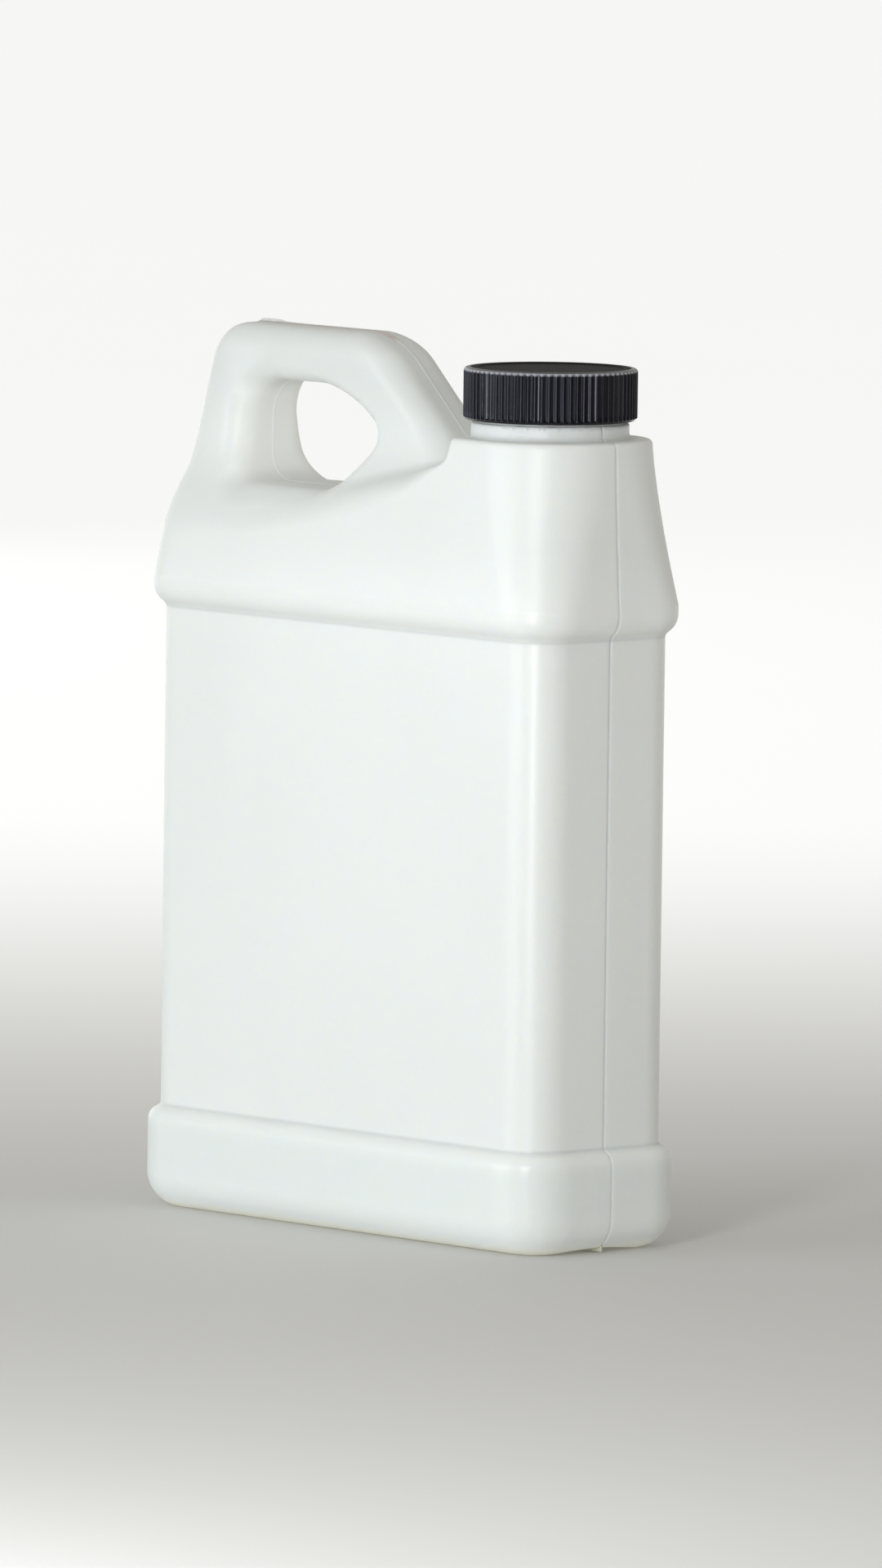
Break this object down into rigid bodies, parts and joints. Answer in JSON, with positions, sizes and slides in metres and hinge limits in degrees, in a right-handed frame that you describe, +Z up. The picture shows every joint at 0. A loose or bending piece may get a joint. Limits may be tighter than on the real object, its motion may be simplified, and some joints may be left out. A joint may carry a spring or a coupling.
{
  "type": "f-style jug",
  "caption": "Slim rectangular blow-moulded plastic jug with a label panel between two beads, a pass-through corner handle, a round collar and a ribbed screw cap.",
  "frame": {"origin": "on the floor under the middle of the base", "axes": "+Z up, +X across the wide face from the handle end towards the neck, +Y across the narrow depth"},
  "size_m": [0.144, 0.051, 0.21],
  "materials": {
    "natural_polyethylene": "milky, translucent, satin",
    "black_polypropylene": "satin, moulded ribs",
    "foam_liner": "matte foam"
  },
  "bodies": {
    "jug": {"jug_body": "natural_polyethylene"},
    "liner": {"cap_liner": "foam_liner"},
    "cap": {"screw_cap": "black_polypropylene"}
  },
  "joints": [
    {"name": "cap_lift", "type": "slide", "parent": "jug", "child": "liner", "axis": [0, 0, 1], "range_m": [0, 0.01271]},
    {"name": "cap_turn", "type": "hinge", "parent": "liner", "child": "cap", "pos_m": [0.047, 0, 0.2], "axis": [0, 0, 1], "range_deg": [0, 1080]}
  ],
  "couplings": [
    {"joint": "cap_lift", "follows": "cap_turn", "m_per_rad": 0.00067375}
  ]
}
